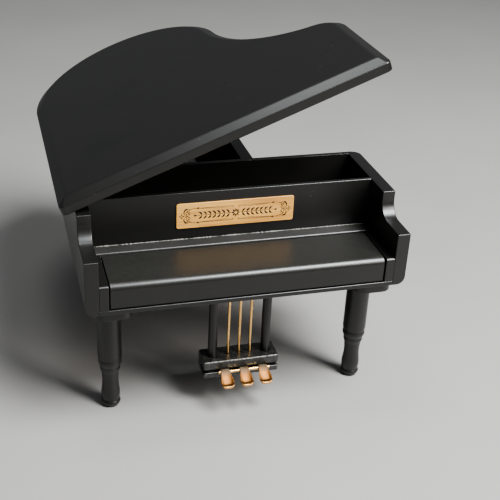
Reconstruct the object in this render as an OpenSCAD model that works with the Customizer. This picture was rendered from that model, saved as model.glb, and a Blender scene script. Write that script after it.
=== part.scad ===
// Musical trinket box in the shape of a grand piano, with its lid propped open.
// Working frame: X to the treble side, Y to the tail, Z up from the floor.
// The finished part is shifted so that its origin is the bottom centre of its box.

/* [Case] */
// Width of the case across the keyboard end
case_w = 170; // [150:1:190]
// Thickness of the two sides and of the tail rim
side_t = 7.2; // [6:0.1:8]
// Height of the underside of the case above the floor
case_z = 73.7; // [68:0.1:80]
// Height of the case from its underside to its rim
case_h = 43.8; // [42:0.1:46]
// Distance from the front to the back face of the rear partition
front_len = 80.1; // [78:0.1:84]
// Height of the low arms above the underside
arm_h = 30.3; // [28:0.1:32]
// Distance from the front to where the sides step up to the rim
arm_len = 24.5; // [22:0.1:26]
// Thickness of the bottom board
floor_t = 2.5; // [2:0.1:3]
// Radius of the rounded lower edge of the case
skirt_r = 4.5; // [3:0.1:6]

/* [Tail] */
// Distance from the front to the centre of the round tail
tail_y = 160; // [150:1:170]
// Outer radius of the round tail
tail_r = 53; // [50:0.5:56]

/* [Lid] */
// Thickness of the lid
lid_t = 8; // [7:0.1:9]
// Angle at which the lid stands open
lid_angle = 22; // [20:0.5:24]
// How far the lid hangs over the bass side of the case
overhang = 6.5; // [5.5:0.1:7]
// Width of the bevel along the top edge of the lid
bevel_w = 5.5; // [3:0.1:6]
// Depth of that bevel
bevel_h = 3; // [2:0.1:4]

/* [Keyboard] */
// Number of white keys
white_count = 28; // [21:7:35]
// Top of the fallboard above the underside of the case
fallboard_h = 16.3; // [15.5:0.1:17]

/* [Stand] */
// Diameter of the round upper part of a leg
leg_d = 13; // [11:0.1:14]
// Distance of a front leg's axis from the side of the case
leg_in = 14.6; // [13:0.1:16]
// Distance of a front leg's axis from the front of the case
leg_back = 25.6; // [24:0.1:27]
// Distance of the rear leg's axis from the front of the case
rear_leg_y = 178; // [170:1:184]
// Width of the lyre's lower block
lyre_w = 42.4; // [38:0.1:46]

/* [Hidden] */

$fn = 96;
cut = 0.5;                    // how far a cutter runs past a face

black = [0.05, 0.05, 0.05];
brass = [0.83, 0.66, 0.33];
steel = [0.72, 0.73, 0.75];
felt = [0.10, 0.10, 0.11];
light_wood = [0.87, 0.67, 0.45];
ivory = [0.93, 0.91, 0.85];

// Case levels and inner faces
rim_z = case_z + case_h;
floor_z = case_z + floor_t;
right_in = case_w - side_t;
step_r = 8.5;                 // fillet where an arm meets the step up to the rim
corner_r = 5;                 // rounded rear treble corner
partition_t = 3;
partition_y = front_len - partition_t;
fascia_y = 41.5;
fascia_t = 2.6;
trough_y = fascia_y + fascia_t;
tail_in = tail_r - side_t;
tail_side_x = 2 * tail_r - side_t;

// Lid: hinge axis beside the bass side, then the corners and arcs of its outline
hinge_x = -1.6;
hinge_z = rim_z + 0.2;
lid_z = rim_z + 0.4;
lid_front = 27.5;
lid_right = case_w + 4.8;
lid_front_r = 3;              // rounding of the two front corners
lid_corner_r = 18;
lid_corner = [lid_right - lid_corner_r, 92.5];
lid_tail_r = tail_r + 7.7;
lid_tail = [lid_tail_r - overhang, tail_y - 2.7];
shoulder_r = 52;              // treble shoulder of the round tail
shoulder_turn = 42;
shoulder = lid_tail + (lid_tail_r - shoulder_r) * [cos(shoulder_turn), sin(shoulder_turn)];
cove_r = 65;

// Edge of the lid: levels of inset and height up to its top, with roundings below and above
// the bevel
edge_r = 0.4;
bevel_turn = atan2(bevel_h, bevel_w);
bevel_low_r = 0.8;
bevel_low = [bevel_low_r, lid_t - bevel_h - bevel_low_r * tan((90 - bevel_turn) / 2)];
bevel_top_r = 5;
bevel_top = [bevel_w + bevel_top_r * tan(bevel_turn / 2), lid_t - bevel_top_r];
lid_levels = concat([[edge_r, 0], [0, edge_r]],
    arc(bevel_low, bevel_low_r, 180, 90 + bevel_turn, 3),
    arc(bevel_top, bevel_top_r, 90 + bevel_turn, 90, 4));

// Hinges
hinge_ys = [52, 132];
hinge_len = 20;
knuckle_len = hinge_len / 3;
knuckle_r = 1.4;
hinge_pin_r = 0.7;
hinge_gap = 0.05;
leaf_t = 0.8;
leaf_x = 6;
leaf_start = 0.1;
leaf_screw_x = 3.4;
leaf_screw_dy = 6;
leaf_inner = 0.1;             // how far a leaf's inner face is from the hinge plane
leaf_screw = [1.5, 0.8];      // radii of head and shank
leaf_screw_case = 6;
leaf_screw_lid = 5;

// Fallboard and keyboard
block_t = 4.7;
block_x = side_t + block_t;
gap = 0.5;
fall_top = case_z + fallboard_h;
barrel_r = 2.6;
pivot_y = 30.5;
pivot_z = fall_top - barrel_r;
pivot_pin_r = 1;
pivot_gap = 0.05;
pivot_pin_len = 11;
pivot_bore = 8;               // depth of the pins' holes in the fallboard
nose_r = 3.5;
fall_front = 0.6;
board_t = 4.8;
apron_t = 4;
ledge_y = 33.5;
ledge_top = fall_top + 0.2;
key_y = 5.4;
key_len = 20.2;
keybed_t = 2;
key_h = 4.2;
key_pitch = (case_w - 2 * block_x - 2 * gap) / white_count;
key_gap = 0.35;
keys_x = block_x + gap;
black_key = [2.8, 12, 1.8];

// Lid prop on the rear face of the partition
prop_x = 52;
prop_z = rim_z - 10;
prop_y = front_len + 2.3;
prop_d = 3;
prop_len = 34.7;
prop_tilt = 13;
prop_eye_r = 3.6;
prop_pin_r = 1.6;
prop_hole = [1, 2];           // radius and depth of the hole for its pivot
prop_seat_r = 3.5;
prop_seat_t = 1.6;

// Legs and their plates
leg_r = leg_d / 2;
plate = [20.6, 42.8, 6.3];
plate_r = 6;
plate_z = case_z - plate[2];
pad_t = 1.2;
pad_r = 4.2;
tenon_r = 4;
tenon_h = 4.5;
leg_spots = [[leg_in, leg_back], [case_w - leg_in, leg_back], [tail_r, rear_leg_y]];
low_screw = [2.4, 1.2];       // radii of head and shank
low_screw_len = 8;
low_screw_dy = 14;

// Lyre
lyre_x = case_w / 2;
lyre_y = 19.6;
lyre_d = 13.9;
lyre_plate_w = 60;
lyre_plate_d = 16;
lyre_screw_dx = 25;
block_top = 28.3;
block_bottom = 18;
slot_z = 21.2;
slot_h = 2;
slot_d = 9;
post_r = 2.5;
post_dx = 15;
rod_r = 0.75;
rod_dx = 6.2;
post_in = [3, 4];             // depths of a post in the block and in the plate
rod_in = [3, 3];
bar_r = 0.9;
bar_len = 29;
wrap_r = 1.5;
bar_y = lyre_y - lyre_d / 2 - wrap_r - 0.2;
bar_z = slot_z + slot_h / 2;
pedal_x = lyre_x + 1;
pedal_dx = 10.7;
pedal_reach = 9;
pedal_drop = 4;

// Music movement in the tail
move_x = 30;
move_y = 112;
move_size = [50, 40, 2];
move_z = floor_z + move_size[2];
spring_x = 41.5;
spring_y = 140;
spring_r = 10.5;
spring_h = 15;
spring_top = 3;
shaft_r = 2;
shaft_hole_r = 3.2;
shaft_low = 12;               // how far the shaft hangs below the case
move_spots = [[4, 5], [46, 5], [25, 36]];
move_screw = [2.6, 1.2];      // radii of head and shank
move_head = 1.2;
drum_r = 6;
drum_x = 54;
drum_len = 18;
drum_y = 139;
drum_z = move_z + 9;
drum_pin_r = 1;
bearing = [1.6, 6, 3];        // thickness, width and height above the drum's axis
comb_z = move_z + 10.5;
comb_t = 1.2;
comb_y = move_y + 2;
comb_d = 8;
cover_t = 1.2;
cover_gap = 2.5;
cover_h = 24;

// Origin: bottom centre of the whole box with the lid open
lid_left = hinge_x + min([for (l = lid_levels)
    (l[0] - overhang - hinge_x) * cos(lid_angle) - (lid_z + l[1] - hinge_z) * sin(lid_angle)]);
centre_x = (lid_left + case_w) / 2;
centre_y = (lid_tail[1] + lid_tail_r) / 2;

// Shifts the working frame to the part's own frame
module framed() {
    translate([-centre_x, -centre_y, 0]) children();
}

// Turns what is drawn with the lid shut to the angle at which it stands open
module opened() {
    framed() translate([hinge_x, 0, hinge_z]) rotate([0, -lid_angle, 0])
        translate([-hinge_x, 0, -hinge_z]) children();
}

// Extrudes a Y-Z outline along X from x0 to x1
module along_x(x0, x1) {
    translate([x0, 0, 0]) rotate([90, 0, 90]) linear_extrude(x1 - x0) children();
}

// Extrudes an X-Z outline along Y from y0 to y1
module along_y(y0, y1) {
    translate([0, y1, 0]) rotate([90, 0, 0]) linear_extrude(y1 - y0) children();
}

// Upright plate with rounded corners, centred on its place
module rounded_plate(size, r) {
    linear_extrude(size[2]) offset_square(size[0], size[1], r);
}

// Square with arcs at its corners
module offset_square(w, d, r) {
    square([w - 2 * r, d], center = true);
    square([w, d - 2 * r], center = true);
    for (sx = [-1, 1], sy = [-1, 1])
        translate([sx * (w / 2 - r), sy * (d / 2 - r)]) circle(r);
}

// Section of an outer wall: its outer face is at 0 and its lower outer edge is rounded
module wall_section() {
    difference() {
        translate([0, case_z]) square([side_t, case_h]);
        translate([-cut, case_z - cut]) square(skirt_r + cut);
    }
    intersection() {
        translate([skirt_r, case_z + skirt_r]) circle(skirt_r);
        translate([0, case_z]) square(skirt_r);
    }
}

// Side view of a side board with its low arm in front
module side_profile(len) {
    difference() {
        translate([0, case_z]) square([len, case_h]);
        translate([-cut, case_z + arm_h + step_r]) square([arm_len + cut, case_h]);
        translate([-cut, case_z + arm_h]) square([arm_len - step_r + cut, case_h]);
        translate([arm_len - step_r, case_z + arm_h + step_r]) circle(step_r);
    }
}

// Countersunk screw, head up with its top at z = 0; radii are those of its head and shank
module screw(radii, len) {
    translate([0, 0, -len]) cylinder(r = radii[1], h = len);
    translate([0, 0, radii[1] - radii[0]])
        cylinder(r1 = radii[1], r2 = radii[0], h = radii[0] - radii[1]);
}

// Low screws of the leg plates and the lyre plate, heads down
module low_screws() {
    leg_places = [for (spot = leg_spots, sy = [-1, 1]) [spot[0], spot[1] + sy * low_screw_dy]];
    lyre_places = [for (sx = [-1, 1]) [lyre_x + sx * lyre_screw_dx, lyre_y]];
    for (p = concat(leg_places, lyre_places))
        translate([p[0], p[1], plate_z]) mirror([0, 0, 1]) screw(low_screw, low_screw_len);
}

module leaf_screws(z) {
    for (y = hinge_ys, sy = [-1, 1])
        translate([leaf_screw_x, y + sy * leaf_screw_dy, z]) children();
}

module case_screws() {
    leaf_screws(hinge_z - leaf_inner) screw(leaf_screw, leaf_screw_case);
}

module lid_screws() {
    leaf_screws(hinge_z + leaf_inner) mirror([0, 0, 1]) screw(leaf_screw, leaf_screw_lid);
}

// ---- Case ----

module left_side() {
    color(black) framed() difference() {
        intersection() {
            along_x(0, side_t) side_profile(tail_y);
            along_y(0, tail_y) wall_section();
        }
        for (y = hinge_ys)
            translate([-cut, y - hinge_len / 2, hinge_z - leaf_inner - leaf_t])
                cube([leaf_x + cut, hinge_len, 2]);
        case_screws();
    }
}

module right_side() {
    color(black) framed() difference() {
        intersection() {
            along_x(right_in, case_w) side_profile(front_len);
            translate([case_w, 0, 0]) mirror([1, 0, 0]) along_y(0, front_len) wall_section();
        }
        translate([case_w - corner_r, front_len - corner_r, case_z - cut]) difference() {
            cube([corner_r + cut, corner_r + cut, case_h + 2 * cut]);
            cylinder(r = corner_r, h = case_h + 2 * cut);
        }
    }
}

module rear_partition() {
    color(black) framed() difference() {
        translate([side_t, partition_y, floor_z])
            cube([right_in - side_t, partition_t, rim_z - floor_z]);
        translate([prop_x, front_len - prop_hole[1], prop_z]) rotate([-90, 0, 0])
            cylinder(r = prop_hole[0], h = prop_hole[1] + cut);
    }
}

module tail_rim() {
    color(black) framed() {
        translate([2 * tail_r, 0, 0]) mirror([1, 0, 0]) along_y(front_len, tail_y) wall_section();
        translate([tail_r, tail_y, 0]) rotate_extrude(angle = 180)
            translate([tail_r, 0]) mirror([1, 0]) wall_section();
    }
}

module bottom_board() {
    color(black) framed() difference() {
        translate([0, 0, case_z]) linear_extrude(floor_t) {
            translate([side_t, 0]) square([right_in - side_t, front_len]);
            translate([side_t, front_len - cut])
                square([tail_side_x - side_t, tail_y - front_len + cut]);
            translate([tail_r, tail_y]) circle(tail_in);
        }
        low_screws();
        translate([spring_x, spring_y, case_z - cut])
            cylinder(r = shaft_hole_r, h = floor_t + 2 * cut);
        movement_fixings();
    }
}

module fascia() {
    color(black) framed() translate([side_t, fascia_y, floor_z])
        cube([right_in - side_t, fascia_t, rim_z - floor_z]);
}

module ledge_strip() {
    ledge_r = 0.8;
    ledge_t = 6;
    ledge_d = fascia_y - ledge_y;
    color(black) framed() along_x(side_t, right_in) {
        translate([ledge_y, ledge_top - ledge_t]) square([ledge_d, ledge_t - ledge_r]);
        translate([ledge_y + ledge_r, ledge_top - ledge_t]) square([ledge_d - ledge_r, ledge_t]);
        translate([ledge_y + ledge_r, ledge_top - ledge_r]) circle(ledge_r, $fn = 32);
    }
}

module key_block(x0) {
    block_r = 1.5;                // rounding of its upper front edge
    color(black) framed() difference() {
        along_x(x0, x0 + block_t) {
            translate([0, floor_z]) square([ledge_y - gap, fall_top - floor_z - block_r]);
            translate([block_r, floor_z]) square([ledge_y - gap - block_r, fall_top - floor_z]);
            translate([block_r, fall_top - block_r]) circle(block_r, $fn = 48);
        }
        along_x(x0 - cut, x0 + block_t + cut) translate([pivot_y, pivot_z]) circle(pivot_pin_r);
    }
}

module key_block_left() {
    key_block(side_t);
}

module key_block_right() {
    key_block(right_in - block_t);
}

module keybed() {
    margin = 0.4;
    color(black) framed() translate([block_x, key_y - margin, floor_z])
        cube([case_w - 2 * block_x, key_len + 2, keybed_t]);
}

module white_keys() {
    web_t = 1;
    key_z = floor_z + keybed_t;
    color(ivory) framed() translate([keys_x, key_y, key_z]) {
        cube([white_count * key_pitch - key_gap, key_len, web_t]);
        for (i = [0 : white_count - 1])
            translate([i * key_pitch, 0, 0]) cube([key_pitch - key_gap, key_len, key_h]);
    }
}

module black_keys() {
    pattern = [1, 2, 4, 5, 6];
    key_z = floor_z + keybed_t + key_h;
    color(black) framed() for (octave = [0 : white_count / 7 - 1], k = pattern)
        translate([keys_x + (octave * 7 + k) * key_pitch - key_gap / 2 - black_key[0] / 2,
                   key_y + key_len - black_key[1], key_z]) cube(black_key);
}

module fallboard() {
    color(black) framed() difference() {
        along_x(block_x + gap, case_w - block_x - gap) {
            translate([fall_front + nose_r, fall_top - board_t])
                square([pivot_y - fall_front - nose_r, board_t]);
            translate([fall_front, floor_z + gap])
                square([apron_t, fall_top - nose_r - floor_z - gap]);
            translate([fall_front + nose_r, fall_top - nose_r]) circle(nose_r);
            translate([pivot_y, pivot_z]) circle(barrel_r);
        }
        for (x = [block_x, case_w - block_x - pivot_bore])
            along_x(x, x + pivot_bore) translate([pivot_y, pivot_z])
                circle(pivot_pin_r + pivot_gap);
    }
}

module fallboard_pins() {
    color(steel) framed() for (x = [side_t, right_in - pivot_pin_len])
        along_x(x, x + pivot_pin_len) translate([pivot_y, pivot_z]) circle(pivot_pin_r);
}

module plaque() {
    plaque_size = [64.8, 14.6, 0.8];
    plaque_x = case_w / 2 + 1;
    plaque_z = case_z + 30.5;
    color(light_wood) framed()
        translate([plaque_x, fascia_y, plaque_z]) rotate([90, 0, 0]) rounded_plate(plaque_size, 1.2);
}

module trough_lining() {
    lining_t = 1.2;
    color(felt) framed() translate([side_t + gap, trough_y + gap, floor_z])
        cube([right_in - side_t - 2 * gap, partition_y - trough_y - 2 * gap, lining_t]);
}

// ---- Lid and its hinges ----

// Points along an arc about a centre
function arc(centre, r, from, to, steps) = [
    for (i = [0 : steps])
        let (a = from + (to - from) * i / steps)
        centre + r * [cos(a), sin(a)]
];

// Where circles of radii a and b about p and q meet, on the left of the line from p to q
function meeting(p, a, q, b) =
    let (d = norm(q - p), along = (q - p) / d, u = (a * a - b * b + d * d) / (2 * d))
    p + u * along + sqrt(a * a - u * u) * [-along[1], along[0]];

// The cove touches the shoulder and the rear treble corner, and turns away from each
cove = meeting(shoulder, shoulder_r + cove_r, lid_corner, lid_corner_r + cove_r);
cove_start = atan2(cove[1] - lid_corner[1], cove[0] - lid_corner[0]);
cove_end = atan2(cove[1] - shoulder[1], cove[0] - shoulder[0]);

// Outline of the lid, anticlockwise from its front bass corner and moved in by inset
function lid_edge(inset) =
    let (r = max(lid_front_r - inset, edge_r),
         low = lid_front + inset + r,
         hollow = arc(cove, cove_r + inset, 180 + cove_start, 180 + cove_end, 20),
         round_end = arc(lid_tail, lid_tail_r - inset, shoulder_turn, 180, 44))
    concat(arc([inset + r - overhang, low], r, 180, 270, 4),
        arc([lid_right - inset - r, low], r, 270, 360, 4),
        arc(lid_corner, lid_corner_r - inset, 0, cove_start, 12),
        [for (i = [1 : 19]) hollow[i]],
        arc(shoulder, shoulder_r - inset, cove_end, shoulder_turn, 14),
        [for (i = [1 : 44]) round_end[i]]);

// Lid board: its outline carried up through the levels of its edge
module lid_board() {
    n = len(lid_edge(0));
    top = len(lid_levels) - 1;
    points = [for (l = lid_levels) for (p = lid_edge(l[0])) [p[0], p[1], l[1]]];
    walls = [for (k = [0 : top - 1]) for (i = [0 : n - 1])
        let (j = (i + 1) % n) [k * n + i, (k + 1) * n + i, (k + 1) * n + j, k * n + j]];
    polyhedron(points, concat(walls,
        [[for (i = [0 : n - 1]) i]], [[for (i = [0 : n - 1]) top * n + n - 1 - i]]));
}

module lid() {
    leaf_recess = leaf_t + 0.7;
    knuckle_room = knuckle_r + 0.4;
    end_room = 0.3;
    color(black) opened() difference() {
        translate([0, 0, lid_z]) lid_board();
        for (y = hinge_ys) {
            translate([hinge_x, y - hinge_len / 2, lid_z - cut])
                cube([leaf_x - hinge_x, hinge_len, leaf_recess]);
            translate([hinge_x - knuckle_room, y - hinge_len / 2 - end_room, lid_z - cut])
                cube([2 * knuckle_room, hinge_len + 2 * end_room,
                      hinge_z + knuckle_room - lid_z + cut]);
        }
        lid_screws();
        prop_seat(0);
    }
}

// Leaf of a butt hinge: its flat plate lies from z0 up, and the listed knuckles carry it
module hinge_leaf(y, z0, knuckles, bore) {
    difference() {
        union() {
            translate([leaf_start, y - hinge_len / 2, z0])
                cube([leaf_x - leaf_start, hinge_len, leaf_t]);
            for (k = knuckles) {
                y0 = y + (k - 1.5) * knuckle_len + hinge_gap;
                y1 = y + (k - 0.5) * knuckle_len - hinge_gap;
                translate([hinge_x + knuckle_r / 2, y0, z0])
                    cube([leaf_start - hinge_x, y1 - y0, leaf_t]);
                along_y(y0, y1) translate([hinge_x, hinge_z]) circle(knuckle_r, $fn = 48);
            }
        }
        along_y(y - hinge_len, y + hinge_len) translate([hinge_x, hinge_z]) circle(bore, $fn = 48);
    }
}

module hinge_case_leaves() {
    color(brass) framed() difference() {
        for (y = hinge_ys)
            hinge_leaf(y, hinge_z - leaf_inner - leaf_t, [0, 2], hinge_pin_r);
        case_screws();
    }
}

module hinge_lid_leaves() {
    color(brass) opened() difference() {
        for (y = hinge_ys)
            hinge_leaf(y, hinge_z + leaf_inner, [1], hinge_pin_r + hinge_gap);
        lid_screws();
    }
}

module hinge_pins() {
    color(steel) framed() for (y = hinge_ys)
        along_y(y - hinge_len / 2, y + hinge_len / 2)
            translate([hinge_x, hinge_z]) circle(hinge_pin_r, $fn = 48);
}

module hinge_case_screws() {
    color(brass) framed() case_screws();
}

module hinge_lid_screws() {
    color(brass) opened() lid_screws();
}

// ---- Lid prop ----

module lid_prop() {
    eye_t = 1.6;
    color(black) framed() translate([prop_x, prop_y, prop_z]) rotate([0, prop_tilt, 0])
        difference() {
            union() {
                cylinder(r = prop_d / 2, h = prop_len, $fn = 48);
                along_y(-eye_t, eye_t) circle(prop_eye_r, $fn = 48);
            }
            along_y(-eye_t - cut, eye_t + cut) circle(prop_pin_r + hinge_gap, $fn = 48);
        }
}

module prop_pivot() {
    pin_len = 4.2;
    head = [3, 1.2];
    color(brass) framed() translate([prop_x, front_len, prop_z]) rotate([-90, 0, 0]) {
        translate([0, 0, -prop_hole[1]]) cylinder(r = prop_hole[0], h = prop_hole[1], $fn = 48);
        cylinder(r = prop_pin_r, h = pin_len, $fn = 48);
        translate([0, 0, pin_len]) cylinder(r = head[0], h = head[1], $fn = 48);
    }
}

// Round seat in the underside of the lid, over the prop's tip; inset makes it smaller
module prop_seat(inset) {
    seat_x = hinge_x + (prop_x + prop_len * sin(prop_tilt) - hinge_x) / cos(lid_angle);
    translate([seat_x, prop_y, lid_z]) cylinder(r = prop_seat_r - inset, h = prop_seat_t, $fn = 48);
}

module prop_cup() {
    rim = 1.3;
    color(brass) opened() difference() {
        prop_seat(0);
        translate([0, 0, -prop_seat_t / 2]) prop_seat(rim);
    }
}

// ---- Stand ----

module leg_plate(spot) {
    color(black) framed() difference() {
        translate([spot[0], spot[1], plate_z]) rounded_plate(plate, plate_r);
        translate([spot[0], spot[1], plate_z - cut]) cylinder(r = tenon_r, h = tenon_h + cut);
        low_screws();
    }
}

module leg_plate_left() {
    leg_plate(leg_spots[0]);
}

module leg_plate_right() {
    leg_plate(leg_spots[1]);
}

module leg_plate_rear() {
    leg_plate(leg_spots[2]);
}

// Arc of points for a turned bead or hollow from height z1 down to z2: depth is how far it
// swells beyond the straight line from radius r1 to r2
function turned(r1, z1, r2, z2, depth, steps = 8) = [
    for (i = [0 : steps])
        let (t = i / steps)
        [r1 + (r2 - r1) * t + depth * sin(180 * t), z1 + (z2 - z1) * t]
];

// Turned leg: round column, bead, collar, hollow neck, swelling and foot ring
module leg(spot) {
    outline = concat(
        [[0, plate_z + tenon_h], [tenon_r, plate_z + tenon_h], [tenon_r, plate_z],
         [leg_r, plate_z], [leg_r, 32.6], [leg_r - 0.5, 31.8]],
        turned(leg_r - 0.6, 31.2, leg_r - 0.8, 27, 0.6),
        [[leg_r - 1.1, 26.6]],
        turned(leg_r - 1.1, 26, leg_r - 1.3, 23.4, 0.2),
        turned(leg_r - 1.6, 22.8, leg_r - 1.5, 10, -0.55, 12),
        turned(leg_r - 1.5, 10, leg_r - 1.9, 4.2, 0.25),
        turned(leg_r - 1.7, 3.8, leg_r - 1.9, pad_t, 0.6),
        [[0, pad_t]]
    );
    color(black) framed() translate([spot[0], spot[1], 0]) rotate_extrude() polygon(outline);
}

module leg_left() {
    leg(leg_spots[0]);
}

module leg_right() {
    leg(leg_spots[1]);
}

module leg_rear() {
    leg(leg_spots[2]);
}

module foot_pads() {
    color(felt) framed() for (spot = leg_spots)
        translate([spot[0], spot[1], 0]) cylinder(r = pad_r, h = pad_t);
}

module plate_screws() {
    color(brass) framed() low_screws();
}

// ---- Lyre and pedals ----

module lyre_plate() {
    corner = 5;
    color(black) framed() difference() {
        translate([lyre_x, lyre_y, plate_z])
            rounded_plate([lyre_plate_w, lyre_plate_d, plate[2]], corner);
        for (sx = [-1, 1]) translate([lyre_x + sx * post_dx, lyre_y, plate_z - cut])
            cylinder(r = post_r, h = post_in[1] + cut);
        for (k = [-1 : 1]) translate([lyre_x + k * rod_dx, lyre_y, plate_z - cut])
            cylinder(r = rod_r, h = rod_in[1] + cut);
        low_screws();
    }
}

module lyre_post(side) {
    color(black) framed() translate([lyre_x + side * post_dx, lyre_y, block_top - post_in[0]])
        cylinder(r = post_r, h = plate_z - block_top + post_in[0] + post_in[1], $fn = 64);
}

module lyre_post_left() {
    lyre_post(-1);
}

module lyre_post_right() {
    lyre_post(1);
}

module lyre_rods() {
    color(brass) framed() for (k = [-1 : 1])
        translate([lyre_x + k * rod_dx, lyre_y, block_top - rod_in[0]])
            cylinder(r = rod_r, h = plate_z - block_top + rod_in[0] + rod_in[1], $fn = 32);
}

module lyre_block() {
    color(black) framed() difference() {
        translate([lyre_x, lyre_y, block_bottom])
            rounded_plate([lyre_w, lyre_d, block_top - block_bottom], 1);
        translate([lyre_x - lyre_w, lyre_y - lyre_d / 2 - cut, slot_z])
            cube([2 * lyre_w, slot_d + cut, slot_h]);
        for (sx = [-1, 1]) translate([lyre_x + sx * post_dx, lyre_y, block_top - post_in[0]])
            cylinder(r = post_r, h = post_in[0] + cut, $fn = 64);
        for (k = [-1 : 1]) translate([lyre_x + k * rod_dx, lyre_y, block_top - rod_in[0]])
            cylinder(r = rod_r, h = rod_in[0] + cut, $fn = 32);
    }
}

module crossbar() {
    along_x(pedal_x - bar_len / 2, pedal_x + bar_len / 2)
        translate([bar_y, bar_z]) circle(bar_r, $fn = 48);
}

module pedal_crossbar() {
    color(brass) framed() crossbar();
}

// Pedal: a tang in the slot, a sleeve on the crossbar and a blade that widens to its lip
module pedal(k) {
    lip_r = 0.75;
    root_w = 5.2;
    tip_w = 7.2;
    tang_len = 8;
    tang_t = 0.9;
    tip_y = bar_y - pedal_reach - 1;
    root_y = bar_y - 1;
    tang_y = bar_y + tang_len + 1;
    color(brass) framed() translate([pedal_x + k * pedal_dx, 0, 0]) difference() {
        intersection() {
            along_x(-tip_w, tip_w) translate([bar_y, bar_z]) {
                circle(wrap_r, $fn = 48);
                translate([0, -tang_t / 2]) square([tang_len, tang_t]);
                polygon([[-0.3, wrap_r - 0.05], [-pedal_reach, lip_r - pedal_drop],
                         [-pedal_reach, -pedal_drop - 0.1], [-1.1, -1]]);
                translate([-pedal_reach, -pedal_drop]) circle(lip_r, $fn = 48);
            }
            linear_extrude(case_z) polygon([
                [-root_w / 2, tang_y], [-root_w / 2, root_y], [-tip_w / 2, tip_y],
                [tip_w / 2, tip_y], [root_w / 2, root_y], [root_w / 2, tang_y]]);
        }
        along_x(-tip_w, tip_w) translate([bar_y, bar_z]) circle(bar_r, $fn = 48);
    }
}

module pedal_left() {
    pedal(-1);
}

module pedal_middle() {
    pedal(0);
}

module pedal_right() {
    pedal(1);
}

// ---- Music movement ----

module movement_fixings() {
    for (p = move_spots)
        translate([move_x + p[0], move_y + p[1], case_z]) {
            cylinder(r = move_screw[1], h = floor_t + move_size[2], $fn = 32);
            translate([0, 0, -move_head]) cylinder(r = move_screw[0], h = move_head, $fn = 32);
        }
}

module movement_base() {
    color(steel) framed() difference() {
        translate([move_x, move_y, floor_z]) cube(move_size);
        movement_fixings();
        translate([spring_x, spring_y, floor_z - cut])
            cylinder(r = shaft_r + hinge_gap, h = move_size[2] + 2 * cut);
    }
}

module movement_screws() {
    color(steel) framed() movement_fixings();
}

module spring_housing() {
    color(brass) framed() difference() {
        translate([spring_x, spring_y, move_z]) cylinder(r = spring_r, h = spring_h);
        translate([spring_x, spring_y, move_z - cut])
            cylinder(r = shaft_r + hinge_gap, h = spring_h - spring_top + cut);
    }
}

module music_cylinder() {
    color(brass) framed() translate([drum_x, drum_y, drum_z]) rotate([0, 90, 0]) {
        cylinder(r = drum_r, h = drum_len);
        translate([0, 0, -bearing[0]])
            cylinder(r = drum_pin_r, h = drum_len + 2 * bearing[0], $fn = 48);
    }
}

module cylinder_bearings() {
    side_gap = 0.3;
    color(steel) framed() difference() {
        for (x = [drum_x - side_gap - bearing[0], drum_x + drum_len + side_gap])
            translate([x, drum_y - bearing[1] / 2, move_z])
                cube([bearing[0], bearing[1], drum_z - move_z + bearing[2]]);
        along_x(drum_x - drum_r, drum_x + drum_len + drum_r)
            translate([drum_y, drum_z]) circle(drum_pin_r + hinge_gap, $fn = 48);
    }
}

module comb_fixings() {
    comb_screw = [2, 1];          // radii of head and shank
    comb_screw_len = 6;
    comb_head = 1.2;
    comb_screw_in = 4;
    for (x = [drum_x + comb_screw_in, drum_x + drum_len - comb_screw_in])
        translate([x, comb_y + comb_d / 2, comb_z + comb_t]) {
            translate([0, 0, -comb_screw_len])
                cylinder(r = comb_screw[1], h = comb_screw_len, $fn = 32);
            cylinder(r = comb_screw[0], h = comb_head, $fn = 32);
        }
}

module comb() {
    tines = 18;
    tine_t = 0.9;
    tine_share = 0.7;             // a tine's part of the pitch
    tip_gap = 1;
    pitch = drum_len / tines;
    tine_y = comb_y + comb_d - 1;
    color(steel) framed() difference() {
        union() {
            translate([drum_x, comb_y, move_z])
                cube([drum_len, comb_d, comb_z - move_z + comb_t]);
            for (i = [0 : tines - 1])
                translate([drum_x + (i + (1 - tine_share) / 2) * pitch, tine_y, comb_z])
                    cube([pitch * tine_share, drum_y - drum_r - tip_gap - tine_y, tine_t]);
        }
        comb_fixings();
    }
}

module comb_screws() {
    color(brass) framed() comb_fixings();
}

module governor() {
    block = [4, 16, 10];
    fly = [7.6, 0.8, 3.5];
    fly_z = 12.5;
    fly_shaft_r = 0.7;
    color(steel) framed() translate([drum_x + drum_len + 5, drum_y - 3, move_z]) {
        translate([-block[0] / 2, -block[1] / 2, 0]) cube(block);
        translate([0, 0, block[2]])
            cylinder(r = fly_shaft_r, h = fly_z + fly[2] - block[2] + cut, $fn = 32);
        translate([-fly[0] / 2, -fly[1] / 2, fly_z]) cube(fly);
    }
}

module movement_cover() {
    outer = [move_size[0] + 2 * cover_gap, move_size[1] + 2 * cover_gap, cover_h];
    color([0.8, 0.85, 0.9, 0.35]) framed()
        translate([move_x - cover_gap, move_y - cover_gap, floor_z]) difference() {
            cube(outer);
            translate([cover_t, cover_t, -cut])
                cube([outer[0] - 2 * cover_t, outer[1] - 2 * cover_t, cover_h - cover_t + cut]);
        }
}

module winding_shaft() {
    end_room = 1;
    color(steel) framed() translate([spring_x, spring_y, case_z - shaft_low])
        cylinder(r = shaft_r, h = move_z + spring_h - spring_top - end_room - case_z + shaft_low);
}

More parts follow.
